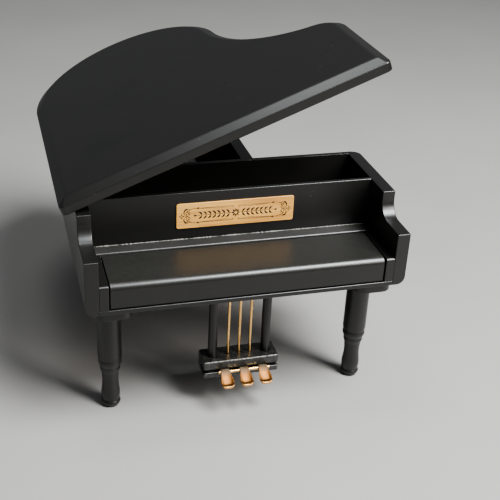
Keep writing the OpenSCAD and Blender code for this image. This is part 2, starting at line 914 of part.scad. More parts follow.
module winding_key() {
    hub_r = 3.4;
    hub_h = 9;
    hub_end = 2;
    key_drop = 5;                 // clear height under the case
    wing_w = 22;
    wing_h = 13;
    wing_r = 4;
    wing_t = 2;
    wing_z = hub_end - wing_h / 2;
    eye_x = 6.5;
    eye_r = 2;
    color(brass) framed() translate([spring_x, spring_y, case_z - key_drop - hub_h]) difference() {
        union() {
            cylinder(r = hub_r, h = hub_h, $fn = 48);
            along_y(-wing_t / 2, wing_t / 2) translate([0, wing_z])
                offset_square(wing_w, wing_h, wing_r);
        }
        translate([0, 0, hub_end]) cylinder(r = shaft_r, h = hub_h);
        along_y(-wing_t, wing_t) for (sx = [-1, 1])
            translate([sx * eye_x, wing_z]) circle(eye_r, $fn = 48);
    }
}

left_side();
right_side();
rear_partition();
tail_rim();
bottom_board();
fascia();
ledge_strip();
key_block_left();
key_block_right();
keybed();
white_keys();
black_keys();
fallboard();
fallboard_pins();
plaque();
trough_lining();
lid();
hinge_case_leaves();
hinge_lid_leaves();
hinge_pins();
hinge_case_screws();
hinge_lid_screws();
lid_prop();
prop_pivot();
prop_cup();
leg_plate_left();
leg_plate_right();
leg_plate_rear();
leg_left();
leg_right();
leg_rear();
foot_pads();
plate_screws();
lyre_plate();
lyre_post_left();
lyre_post_right();
lyre_rods();
lyre_block();
pedal_crossbar();
pedal_left();
pedal_middle();
pedal_right();
movement_base();
spring_housing();
music_cylinder();
cylinder_bearings();
comb();
comb_screws();
governor();
movement_cover();
movement_screws();
winding_shaft();
winding_key();
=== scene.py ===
import math
import random

import bmesh
import bpy
from mathutils import Matrix, Vector, noise


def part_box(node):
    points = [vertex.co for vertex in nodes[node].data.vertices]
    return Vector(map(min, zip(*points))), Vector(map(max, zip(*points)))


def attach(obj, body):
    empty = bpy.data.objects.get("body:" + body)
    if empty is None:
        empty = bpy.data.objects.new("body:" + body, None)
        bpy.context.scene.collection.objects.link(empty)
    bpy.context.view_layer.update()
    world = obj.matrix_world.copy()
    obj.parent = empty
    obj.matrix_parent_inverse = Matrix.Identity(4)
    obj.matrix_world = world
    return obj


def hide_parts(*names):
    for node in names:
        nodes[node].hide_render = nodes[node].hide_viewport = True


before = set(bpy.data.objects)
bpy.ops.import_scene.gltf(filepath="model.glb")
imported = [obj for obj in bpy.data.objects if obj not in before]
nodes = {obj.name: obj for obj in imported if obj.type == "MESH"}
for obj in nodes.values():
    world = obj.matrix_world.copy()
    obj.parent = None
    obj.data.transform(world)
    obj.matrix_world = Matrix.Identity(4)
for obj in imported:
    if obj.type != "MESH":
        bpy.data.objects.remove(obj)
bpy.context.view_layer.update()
mm = 0.001


# ---- Material helpers ----

class Shader:
    """A new material with one Principled shader, and short calls for the nodes that feed it."""

    def __init__(self, name, **values):
        self.material = bpy.data.materials.new(name)
        self.material.use_nodes = True
        self.tree = self.material.node_tree
        self.main = self.tree.nodes["Principled BSDF"]
        for socket, value in values.items():
            self.main.inputs[socket.replace("_", " ")].default_value = value
        self.place = self.tree.nodes.new("ShaderNodeTexCoord").outputs["Object"]

    def link(self, output, socket):
        self.tree.links.new(output, socket)

    def stretched(self, scale):
        """The object's coordinates, each axis times its part of scale."""
        node = self.tree.nodes.new("ShaderNodeMapping")
        node.inputs["Scale"].default_value = scale
        self.link(self.place, node.inputs["Vector"])
        return node.outputs["Vector"]

    def noise(self, scale, stretch=(1, 1, 1), detail=3, rough=0.5, distortion=0):
        """Noise with about scale cells in a metre."""
        node = self.tree.nodes.new("ShaderNodeTexNoise")
        node.inputs["Scale"].default_value = scale
        node.inputs["Detail"].default_value = detail
        node.inputs["Roughness"].default_value = rough
        node.inputs["Distortion"].default_value = distortion
        self.link(self.stretched(stretch), node.inputs["Vector"])
        return node.outputs["Fac"]

    def specks(self, scale, size):
        """1 in small round spots, about scale of them along a metre, 0 elsewhere."""
        node = self.tree.nodes.new("ShaderNodeTexVoronoi")
        node.inputs["Scale"].default_value = scale
        self.link(self.place, node.inputs["Vector"])
        return self.ramp(node.outputs["Distance"], size, 1, size * 1.8, 0)

    def ramp(self, value, low, at_low, high, at_high):
        """Numbers from at_low to at_high as value goes from low to high."""
        node = self.tree.nodes.new("ShaderNodeMapRange")
        for socket, number in zip(("From Min", "From Max", "To Min", "To Max"),
                                  (low, high, at_low, at_high)):
            node.inputs[socket].default_value = number
        self.link(value, node.inputs["Value"])
        return node.outputs["Result"]

    def near(self, axis, level, reach):
        """1 where the coordinate on axis is at level, 0 from reach away on both sides of it."""
        node = self.tree.nodes.new("ShaderNodeSeparateXYZ")
        self.link(self.place, node.inputs["Vector"])
        below = self.ramp(node.outputs[axis], level - reach, 0, level, 1)
        return self.times(below, self.ramp(node.outputs[axis], level, 1, level + reach, 0))

    def times(self, a, b):
        node = self.tree.nodes.new("ShaderNodeMath")
        node.operation = "MULTIPLY"
        self.link(a, node.inputs[0])
        self.link(b, node.inputs[1])
        return node.outputs["Value"]

    def colours(self, value, *stops):
        """Colour ramp: stops are pairs of place and linear colour."""
        node = self.tree.nodes.new("ShaderNodeValToRGB")
        ramp = node.color_ramp
        while len(ramp.elements) < len(stops):
            ramp.elements.new(0.5)
        for element, (place, colour) in zip(ramp.elements, stops):
            element.position = place
            element.color = (*colour, 1)
        self.link(value, node.inputs["Fac"])
        return node.outputs["Color"]

    def mixed(self, share, a, b):
        """Colour a where share is 0 and b where it is 1; each is a colour output or a colour."""
        node = self.tree.nodes.new("ShaderNodeMix")
        node.data_type = "RGBA"
        self.link(share, node.inputs["Factor"])
        for socket, colour in ((node.inputs[6], a), (node.inputs[7], b)):
            if isinstance(colour, tuple):
                socket.default_value = (*colour, 1)
            else:
                self.link(colour, socket)
        return node.outputs[2]

    def bump(self, height, distance, strength=1):
        """Raises the surface by up to distance in metres; each call goes on top of the last."""
        node = self.tree.nodes.new("ShaderNodeBump")
        node.inputs["Distance"].default_value = distance
        node.inputs["Strength"].default_value = strength
        self.link(height, node.inputs["Height"])
        normal = self.main.inputs["Normal"]
        if normal.is_linked:
            self.link(normal.links[0].from_socket, node.inputs["Normal"])
        self.link(node.outputs["Normal"], normal)

    def colour(self, output):
        self.link(output, self.main.inputs["Base Color"])

    def roughness(self, output):
        self.link(output, self.main.inputs["Roughness"])


# ---- Materials ----

def lacquer(name, grain, haze=1, sheen_and_dust_top=None):
    """Satin black lacquer over wood with faint pores along grain, specks of dust and some haze.

    A flat top at the given height is painted lighter: partly a thin film of dust, partly a painted
    sheen standing in for the light that falls on that top.
    """
    s = Shader(name, Coat_Weight=0.2, Coat_Roughness=0.3, IOR=1.5)
    cloud = s.noise(35, detail=4)
    pores = s.noise(420, stretch=grain, detail=4, rough=0.6)
    mottle = s.noise(310, detail=6, rough=0.75)
    black = s.colours(s.times(cloud, mottle) if haze > 1 else cloud,
                      (0.15, (0.004 * haze, 0.004 * haze, 0.0038 * haze)),
                      (0.45, (0.0065 * haze, 0.0062 * haze, 0.0056 * haze)))
    specks = s.times(s.specks(230, 0.05), s.ramp(s.noise(60), 0.5, 0, 0.62, 0.5))
    if sheen_and_dust_top is not None:
        # Painted sheen over a little dust: the flat top is lighter than the rest of the board
        film = s.times(s.near("Z", sheen_and_dust_top, 0.7 * mm), s.ramp(mottle, 0.35, 0.6, 0.6, 1))
        black = s.mixed(film, black, (0.018, 0.0177, 0.0155))
    s.colour(s.mixed(specks, black, (0.12, 0.116, 0.11)))
    s.roughness(s.ramp(cloud, 0.3, 0.35, 0.7, 0.38))
    s.bump(pores, 0.012 * mm, 0.5)
    s.bump(s.noise(900, detail=2), 0.006 * mm, 0.6)
    return s.material


def worn_lacquer(name, edge_y, edge_z, reach):
    """Lacquer that is chipped and dusty within reach of the edge along X at edge_y and edge_z."""
    s = Shader(name, Coat_Weight=0.2, Coat_Roughness=0.35, IOR=1.6)
    bare = s.times(s.near("Y", edge_y, reach), s.near("Z", edge_z, reach))
    chips = s.times(bare, s.ramp(s.noise(900, detail=5, rough=0.7), 0.44, 0, 0.56, 1))
    dust = s.ramp(s.noise(600, detail=5, rough=0.6), 0.42, 0, 0.7, 0.42)
    black = s.mixed(dust, (0.006, 0.006, 0.0057), (0.10, 0.097, 0.09))
    s.colour(s.mixed(chips, black, (0.42, 0.40, 0.36)))
    s.roughness(s.ramp(chips, 0, 0.3, 1, 0.8))
    s.bump(s.noise(700, detail=4, rough=0.65), 0.16 * mm, 0.8)
    return s.material


def brass(name, roughness=0.2):
    """Polished brass with a little tarnish and fine drawing lines."""
    s = Shader(name, Metallic=1)
    cloud = s.noise(160, detail=5, rough=0.6)
    s.colour(s.colours(cloud, (0.3, (0.70, 0.41, 0.15)), (0.65, (0.90, 0.60, 0.27))))
    s.roughness(s.ramp(cloud, 0.3, roughness + 0.12, 0.7, roughness))
    s.bump(s.noise(2500, stretch=(1, 1, 0.08), detail=3), 0.01 * mm, 0.5)
    return s.material


def cast_brass(name, dusty_y, clean_y, tip_y):
    """Worn brass, brighter at tip_y, where a painted highlight lies on the toe over some polish from
    wear, with a greyish film from dusty_y to clean_y along Y.
    """
    s = Shader(name)
    spread = s.tree.nodes.new("ShaderNodeSeparateXYZ")
    s.link(s.place, spread.inputs["Vector"])
    share = s.ramp(spread.outputs["Y"], clean_y, 0.12, dusty_y, 0.95)
    film = s.times(share, s.ramp(s.noise(420, detail=5, rough=0.65), 0.3, 0.35, 0.55, 1))
    dull = s.colours(s.noise(200, detail=4), (0.3, (0.09, 0.034, 0.007)), (0.7, (0.17, 0.068, 0.018)))
    # Painted highlight on the toe, partly polish from wear: bright brass near tip_y, dull brass
    # elsewhere
    metal = s.mixed(s.near("Y", tip_y, 1.5 * mm), dull, (0.85, 0.48, 0.19))
    s.colour(s.mixed(film, metal, (0.12, 0.10, 0.065)))
    s.link(s.ramp(film, 0.1, 1, 0.9, 0.1), s.main.inputs["Metallic"])
    s.roughness(s.ramp(film, 0, 0.34, 1, 0.8))
    s.bump(s.noise(1100, detail=4, rough=0.6), 0.015 * mm, 0.6)
    return s.material


def grime(name):
    """Grey dust stuck in a corner."""
    s = Shader(name)
    s.colour(s.colours(s.noise(1300, detail=5, rough=0.7), (0.3, (0.05, 0.048, 0.044)),
                       (0.7, (0.34, 0.33, 0.30))))
    s.roughness(s.ramp(s.noise(600), 0.3, 0.8, 0.7, 1))
    s.bump(s.noise(2000, detail=3), 0.08 * mm, 0.8)
    return s.material


def steel(name, lines):
    """Bright steel, brushed along the axis where lines is small."""
    s = Shader(name, Metallic=1)
    brushed = s.noise(3000, stretch=lines, detail=3)
    s.colour(s.colours(brushed, (0.3, (0.42, 0.43, 0.45)), (0.7, (0.62, 0.63, 0.65))))
    s.roughness(s.ramp(brushed, 0.3, 0.24, 0.7, 0.36))
    s.bump(brushed, 0.01 * mm, 0.5)
    return s.material


def varnished_wood(name):
    """Light varnished wood, its grain along X."""
    s = Shader(name, Coat_Weight=0.3, Coat_Roughness=0.18)
    grain = s.noise(90, stretch=(0.12, 1, 1), detail=5, rough=0.62, distortion=0.8)
    fibres = s.noise(900, stretch=(0.05, 1, 1), detail=4, rough=0.6)
    wood = s.colours(grain, (0.28, (0.52, 0.25, 0.055)), (0.5, (0.70, 0.37, 0.095)),
                     (0.72, (0.82, 0.47, 0.135)))
    s.colour(s.mixed(s.ramp(fibres, 0.42, 0, 0.7, 0.7), wood, (0.40, 0.185, 0.055)))
    s.roughness(s.ramp(fibres, 0.3, 0.34, 0.7, 0.46))
    s.bump(fibres, 0.02 * mm, 0.6)
    return s.material


def engraving(name):
    """Dark brown burnt line; the same brown paints the shade in the screws' cross recesses."""
    s = Shader(name)
    s.colour(s.colours(s.noise(1500, detail=3), (0.3, (0.010, 0.007, 0.005)),
                       (0.8, (0.045, 0.024, 0.012))))
    s.roughness(s.ramp(s.noise(700), 0.3, 0.5, 0.7, 0.75))
    return s.material


def plastic(name, dark, light, roughness):
    """Moulded plastic with a faint texture."""
    s = Shader(name)
    cloud = s.noise(80, detail=3)
    s.colour(s.colours(cloud, (0.3, dark), (0.7, light)))
    s.roughness(s.ramp(cloud, 0.3, roughness, 0.7, roughness + 0.08))
    s.bump(s.noise(2600, detail=2), 0.006 * mm, 0.5)
    return s.material


def felt(name):
    """Pressed black felt: matted fibres with a soft sheen."""
    s = Shader(name, Sheen_Weight=0.5, Sheen_Roughness=0.45, Specular_IOR_Level=0.2)
    fibres = s.noise(2600, stretch=(1, 0.35, 1), detail=5, rough=0.7, distortion=2.5)
    s.colour(s.colours(fibres, (0.3, (0.012, 0.012, 0.014)), (0.75, (0.055, 0.055, 0.06))))
    s.roughness(s.ramp(fibres, 0.3, 0.85, 0.7, 1))
    s.bump(fibres, 0.12 * mm, 0.9)
    return s.material


def clear(name):
    """Clear plastic with fine scratches."""
    s = Shader(name, Transmission_Weight=1, IOR=1.49)
    scratches = s.noise(1200, stretch=(0.06, 1, 1), detail=3)
    s.colour(s.colours(s.noise(30), (0.3, (0.93, 0.96, 0.97)), (0.7, (0.97, 0.98, 0.98))))
    s.roughness(s.ramp(scratches, 0.55, 0.03, 0.8, 0.14))
    return s.material


lacquer_along = lacquer("lacquer_along_tail", (1, 0.07, 1))
lacquer_across = lacquer("lacquer_across", (0.07, 1, 1))
lacquer_upright = lacquer("lacquer_upright", (1, 1, 0.07))
# The fallboard's flat top gets a painted sheen over a little dust
lacquer_dust_and_painted_sheen = lacquer("lacquer_dust_and_painted_sheen", (0.07, 1, 1), sheen_and_dust_top=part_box("fallboard")[1].z)
dusty_lacquer = lacquer("dusty_lacquer", (0.07, 1, 1), haze=6)
polished_brass = brass("polished_brass")
worn_brass = brass("worn_brass", 0.3)
brushed_steel = steel("brushed_steel", (0.05, 1, 1))
turned_steel = steel("turned_steel", (1, 1, 0.05))
veneer = varnished_wood("varnished_veneer")
# Also paints the shade of the screws' cross recesses
burnt_line_and_recess_shade = engraving("burnt_line_and_recess_shade")
block_low, block_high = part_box("lyre_block")
chipped_lacquer = worn_lacquer("chipped_lacquer", block_low.y, block_high.z, 0.8 * mm)
corner_dust = grime("corner_dust")
ivory = plastic("ivory_keys", (0.72, 0.67, 0.54), (0.80, 0.76, 0.64), 0.2)
black_plastic = plastic("black_keys", (0.010, 0.010, 0.011), (0.018, 0.018, 0.019), 0.22)
black_felt = felt("pressed_felt")
clear_plastic = clear("clear_plastic")

looks = {
    lacquer_along: ["left_side", "right_side", "tail_rim", "bottom_board", "lid"],
    lacquer_dust_and_painted_sheen: ["fallboard"],
    dusty_lacquer: ["ledge_strip"],
    lacquer_across: ["rear_partition", "fascia", "keybed", "lyre_plate", "leg_plate_left",
                     "leg_plate_right", "leg_plate_rear"],
    chipped_lacquer: ["lyre_block"],
    lacquer_upright: ["key_block_left", "key_block_right", "lid_prop", "leg_left", "leg_right",
                      "leg_rear", "lyre_post_left", "lyre_post_right"],
    polished_brass: ["lyre_rods", "pedal_crossbar", "pedal_left", "pedal_middle", "pedal_right",
                     "music_cylinder", "winding_key", "prop_pivot"],
    worn_brass: ["hinge_case_leaves", "hinge_lid_leaves", "hinge_case_screws",
                 "hinge_lid_screws", "prop_cup", "plate_screws", "spring_housing", "comb_screws"],
    brushed_steel: ["movement_base", "comb", "cylinder_bearings", "governor", "hinge_pins",
                    "fallboard_pins", "movement_screws"],
    turned_steel: ["winding_shaft"],
    veneer: ["plaque"],
    ivory: ["white_keys"],
    black_plastic: ["black_keys"],
    black_felt: ["trough_lining", "foot_pads"],
    clear_plastic: ["movement_cover"],
}
for material, names in looks.items():
    for name in names:
        nodes[name].data.materials.clear()
        nodes[name].data.materials.append(material)


# ---- Rounded edges ----

def geometry_group(name):
    """Empty geometry node group; returns it with its input's and output's geometry sockets."""
    group = bpy.data.node_groups.new(name, "GeometryNodeTree")
    group.interface.new_socket("Geometry", in_out="INPUT", socket_type="NodeSocketGeometry")
    group.interface.new_socket("Geometry", in_out="OUTPUT", socket_type="NodeSocketGeometry")
    start = group.nodes.new("NodeGroupInput").outputs["Geometry"]
    end = group.nodes.new("NodeGroupOutput").inputs["Geometry"]
    return group, start, end


def turns_more_than(group, limit):
    """True on the edges where the surface turns by more than limit, in degrees."""
    angle = group.nodes.new("GeometryNodeInputMeshEdgeAngle")
    test = group.nodes.new("FunctionNodeCompare")
    test.operation = "GREATER_THAN"
    test.inputs["B"].default_value = math.radians(limit)
    group.links.new(angle.outputs["Unsigned Angle"], test.inputs["A"])
    return test.outputs["Result"]


def one_skin():
    """Merges the doubled points of a CAD mesh and drops its stored normals."""
    group, start, end = geometry_group("one_skin")
    merge = group.nodes.new("GeometryNodeMergeByDistance")
    merge.inputs["Distance"].default_value = 0.002 * mm
    forget = group.nodes.new("GeometryNodeRemoveAttribute")
    forget.inputs["Name"].default_value = "custom_normal"
    group.links.new(start, merge.inputs["Geometry"])
    group.links.new(merge.outputs["Geometry"], forget.inputs["Geometry"])
    group.links.new(forget.outputs["Geometry"], end)
    return group


def smooth_by_angle(limit):
    """Shades smooth across edges that turn by less than limit, in degrees."""
    group, start, end = geometry_group(f"smooth_below_{limit}")
    faces = group.nodes.new("GeometryNodeSetShadeSmooth")
    faces.domain = "FACE"
    edges = group.nodes.new("GeometryNodeSetShadeSmooth")
    edges.domain = "EDGE"
    edges.inputs["Shade Smooth"].default_value = False
    group.links.new(turns_more_than(group, limit), edges.inputs["Selection"])
    group.links.new(start, faces.inputs["Geometry"])
    group.links.new(faces.outputs["Geometry"], edges.inputs["Geometry"])
    group.links.new(edges.outputs["Geometry"], end)
    return group


def unfolded():
    """Drops the folded slivers of a big flat face: their edges turn back by half a circle."""
    group, start, end = geometry_group("unfolded")
    drop = group.nodes.new("GeometryNodeDeleteGeometry")
    drop.domain = "FACE"
    drop.mode = "ONLY_FACE"
    group.links.new(turns_more_than(group, 110), drop.inputs["Selection"])
    group.links.new(start, drop.inputs["Geometry"])
    group.links.new(drop.outputs["Geometry"], end)
    return group


def slab(axis, place, low=(-1, -1, -1), high=(1, 1, 1)):
    """Box from low to high that is cut down to a thin slab at place on axis 0, 1 or 2."""
    thin = 0.05 * mm
    low, high = list(low), list(high)
    low[axis], high[axis] = place - thin, place + thin
    return low, high


def edges_to_round(name, seams):
    """Marks the sharp edges to round, apart from those in a seam, where two boards are flush."""
    group, start, end = geometry_group(f"edges_{name}")
    new = group.nodes.new
    link = group.links.new
    place = new("GeometryNodeInputPosition").outputs["Position"]
    chosen = turns_more_than(group, 40)
    for corners in seams:
        inside = []
        for corner, operation in zip(corners, ("GREATER_THAN", "LESS_THAN")):
            side = new("FunctionNodeCompare")
            side.data_type = "VECTOR"
            side.mode = "ELEMENT"
            side.operation = operation
            link(place, side.inputs[4])                # the vector inputs A and B
            side.inputs[5].default_value = corner
            inside.append(side.outputs["Result"])
        both = new("FunctionNodeBooleanMath")
        both.operation = "NAND"
        link(inside[0], both.inputs[0])
        link(inside[1], both.inputs[1])
        rest = new("FunctionNodeBooleanMath")
        rest.operation = "AND"
        link(chosen, rest.inputs[0])
        link(both.outputs[0], rest.inputs[1])
        chosen = rest.outputs[0]
    store = new("GeometryNodeStoreNamedAttribute")
    store.data_type = "FLOAT"
    store.domain = "EDGE"
    store.inputs["Name"].default_value = "bevel_weight_edge"
    link(chosen, store.inputs["Value"])
    link(start, store.inputs["Geometry"])
    link(store.outputs["Geometry"], end)
    return group


skin_group = one_skin()
fold_group = unfolded()
smooth_group = smooth_by_angle(38)

# Flush joints between boards, which stay sharp and closed
bass_joint = slab(0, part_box("key_block_left")[0].x)
treble_joint = slab(0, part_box("key_block_right")[1].x)
under_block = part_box("key_block_left")[1].z
tail_joint = slab(1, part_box("left_side")[1].y)
rear_joint = slab(1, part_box("right_side")[1].y)
seams = {name: (bass_joint, treble_joint) for name in (
    "bottom_board", "key_block_left", "key_block_right", "fascia", "ledge_strip",
    "rear_partition")}
seams["left_side"] = (slab(0, bass_joint[1][0], high=(1, 1, under_block)), tail_joint)
seams["right_side"] = (slab(0, treble_joint[1][0], high=(1, 1, under_block)), rear_joint)
seams["tail_rim"] = (tail_joint, rear_joint)

# Boards whose small bores would otherwise hold back the rounding of all their edges
unclamped = ("left_side", "right_side", "tail_rim", "key_block_left", "key_block_right",
             "fallboard", "bottom_board", "lyre_block")


def soften(name, width, flatten=True):
    """Rounds a CAD node's sharp edges by width in metres and shades its curves smooth."""
    obj = nodes[name]
    obj.modifiers.new("skin", "NODES").node_group = skin_group
    if name == "lid":
        obj.modifiers.new("folds", "NODES").node_group = fold_group
    if flatten:
        flat = obj.modifiers.new("flat", "DECIMATE")
        flat.decimate_type = "DISSOLVE"
        flat.angle_limit = math.radians(0.5)
    if width:
        obj.modifiers.new("sharp", "NODES").node_group = edges_to_round(name, seams.get(name, ()))
        edge = obj.modifiers.new("edge", "BEVEL")
        edge.width = width
        edge.segments = 3
        edge.limit_method = "WEIGHT"
        edge.miter_outer = "MITER_ARC"
        edge.use_clamp_overlap = name not in unclamped
    obj.modifiers.new("smooth", "NODES").node_group = smooth_group
    shade = obj.modifiers.new("shade", "WEIGHTED_NORMAL")
    shade.keep_sharp = True


# Nodes by the width of their rounded edges; 0 leaves the edges and only shades the curves
softened = {
    0.9 * mm: ["ledge_strip"],
    0.45 * mm: ["left_side", "right_side", "tail_rim", "fascia", "rear_partition", "fallboard",
                "key_block_left", "key_block_right", "lyre_block", "lyre_plate",
                "bottom_board"],
    0.3 * mm: ["leg_plate_left", "leg_plate_right",
               "leg_plate_rear", "plaque", "white_keys", "black_keys", "keybed", "prop_pivot",
               "spring_housing", "music_cylinder", "winding_key", "pedal_crossbar",
               "movement_base"],
    0.12 * mm: ["hinge_case_leaves", "hinge_lid_leaves", "comb", "cylinder_bearings",
                "governor", "movement_cover", "lid_prop"],
    0: ["lid", "leg_left", "leg_right", "leg_rear", "lyre_post_left", "lyre_post_right",
        "lyre_rods", "hinge_pins", "fallboard_pins", "foot_pads", "trough_lining",
        "plate_screws", "comb_screws", "movement_screws", "prop_cup", "winding_shaft",
        "hinge_case_screws", "hinge_lid_screws"],
}
for width, names in softened.items():
    for name in names:
        soften(name, width)


# ---- Pieces built here ----

def add_piece(name, bm, material, body):
    """Turns bm into a smooth-shaded object with material on it that rides body."""
    bmesh.ops.recalc_face_normals(bm, faces=bm.faces)
    mesh = bpy.data.meshes.new(name)
    bm.to_mesh(mesh)
    bm.free()
    mesh.materials.append(material)
    for face in mesh.polygons:
        face.use_smooth = True
    piece = bpy.data.objects.new(name, mesh)
    bpy.context.scene.collection.objects.link(piece)
    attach(piece, body)
    return piece


def loft(bm, loops):
    """Closed tube through loops of equally many points, with a face over each end."""
    rings = [[bm.verts.new(point) for point in loop] for loop in loops]
    count = len(rings[0])
    for a, b in zip(rings, rings[1:]):
        for i in range(count):
            j = (i + 1) % count
            bm.faces.new((a[i], a[j], b[j], b[i]))
    bm.faces.new(rings[0][::-1])
    bm.faces.new(rings[-1])


def bezier(a, b, c, d, steps=12):
    """Points of the curve from a to d that b and c pull on."""
    a, b, c, d = map(Vector, (a, b, c, d))
    shares = [i / steps for i in range(steps + 1)]
    return [a * (1 - t) ** 3 + b * 3 * t * (1 - t) ** 2 + c * 3 * t * t * (1 - t) + d * t ** 3
            for t in shares]


# ---- Plaque ornament ----

plaque_low, plaque_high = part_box("plaque")
plaque_middle = (plaque_low + plaque_high) / 2


def ribbon(bm, line, widths):
    """Burnt strip along a line of points in mm from the plaque's centre; widths run along it."""
    loops = []
    for i, point in enumerate(line):
        along = line[min(i + 1, len(line) - 1)] - line[max(i - 1, 0)]
        side = Vector((-along.y, along.x)).normalized()
        share = i / (len(line) - 1) * (len(widths) - 1)
        k = min(int(share), len(widths) - 2)
        half = (widths[k] + (widths[k + 1] - widths[k]) * (share - k)) / 2
        loops.append([
            Vector((plaque_middle.x + (point.x + side.x * half * s) * mm,
                    plaque_low.y + depth * mm,
                    plaque_middle.z + (point.y + side.y * half * s) * mm))
            for s, depth in ((-1, -0.03), (1, -0.03), (1, 0.02), (-1, 0.02))])
    loft(bm, loops)


def stem(*points):
    """Line through two points, or a curve through four, in small steps."""
    if len(points) == 4:
        return bezier(*points)
    a, b = map(Vector, points)
    return [a.lerp(b, i / 8) for i in range(9)]


# In mm, from the plaque's centre
leaf_widths = (0.04, 0.7, 1, 0.85, 0.5, 0.04)
quarter = [
    # rails with a spindle between them, and the curl that ends them near the middle
    (stem((2, 4.15), (20, 4.15)), (0.12, 0.22, 0.24)),
    (stem((2, 4.1), (4.5, 3.1), (9, 3.4), (19.5, 4.05)), (0.1, 0.2, 0.2)),
    (stem((2.1, 4.15), (1.2, 4.2), (1.1, 3.4), (1.9, 3.45)), (0.2, 0.3, 0.35)),
    # lozenge and the bracket that leads to the scroll
    (stem((19.8, 4.25), (21.6, 4.25)), (0.05, 1.15, 0.05)),
    (stem((21.4, 4.2), (23.4, 4.2), (24.7, 3.9), (25.6, 3.1)), (0.2, 0.28, 0.4)),
    # leafy scroll
    (stem((25, 3.8), (27.3, 4.5), (29.2, 2.8), (28, 1)), (0.06, 0.75, 0.6, 0.25)),
    (stem((28, 1), (27.4, 0.3), (26.5, 0.7), (26.9, 1.5)), (0.25, 0.35, 0.45)),
    (stem((25.7, 3.4), (27.2, 1.9)), (0.05, 0.75, 0.05)),
    (stem((25.1, 2.7), (26.3, 1.3)), (0.05, 0.6, 0.05)),
    (stem((26.7, 4.4), (28.3, 3.7)), (0.05, 0.5, 0.05)),
    (stem((26.2, 0.3), (24.8, 1.5)), (0.05, 0.55, 0.05)),
]


def plaque_ornament():
    """Frame of rails, scrolls and florets round a garland of leaves."""
    bm = bmesh.new()
    for sx in (-1, 1):
        for sy in (-1, 1):
            for line, widths in quarter:
                ribbon(bm, [Vector((p.x * sx, p.y * sy)) for p in line], widths)
        floret = Vector((29.5 * sx, 0))
        for k in range(4):
            turn = Vector((math.cos(k * math.pi / 2), math.sin(k * math.pi / 2)))
            ribbon(bm, stem(floret + turn * 0.25, floret + turn * 1.5),
                   [w * 0.75 for w in leaf_widths])
        ribbon(bm, stem((27.8 * sx, 0), (25.4 * sx, 0)), [w * 0.55 for w in leaf_widths])
        ribbon(bm, stem((2.6 * sx, 0), (21.6 * sx, 0)), (0.35, 0.35, 0.2))
        ribbon(bm, stem((21.4 * sx, 0), (23.2 * sx, 0)), (0.05, 1.2, 0.05))
        for k in range(7):  # pairs of leaves, each a little shorter than the last
            foot = 3.6 + 2.5 * k
            reach = 2.35 - 0.08 * k
            for sy in (-1, 1):
                blade = stem((foot, 0.1), (foot + 0.3, 1.1), (foot + 0.9, 1.9),
                             (foot + 2, reach))
                ribbon(bm, [Vector((p.x * sx, p.y * sy)) for p in blade],
                       [w * 1.05 for w in leaf_widths])
    for k in range(8):
        turn = Vector((math.cos(k * math.pi / 4), math.sin(k * math.pi / 4)))
        ribbon(bm, stem(turn * 0.6, turn * 2.5), leaf_widths)
    add_piece("plaque_ornament", bm, burnt_line_and_recess_shade, "case")


plaque_ornament()


# ---- Pedals ----

pedal_brass = cast_brass("pedal_brass", block_low.y - 1.5 * mm, block_low.y - 5.5 * mm,
                         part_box("pedal_left")[0].y)


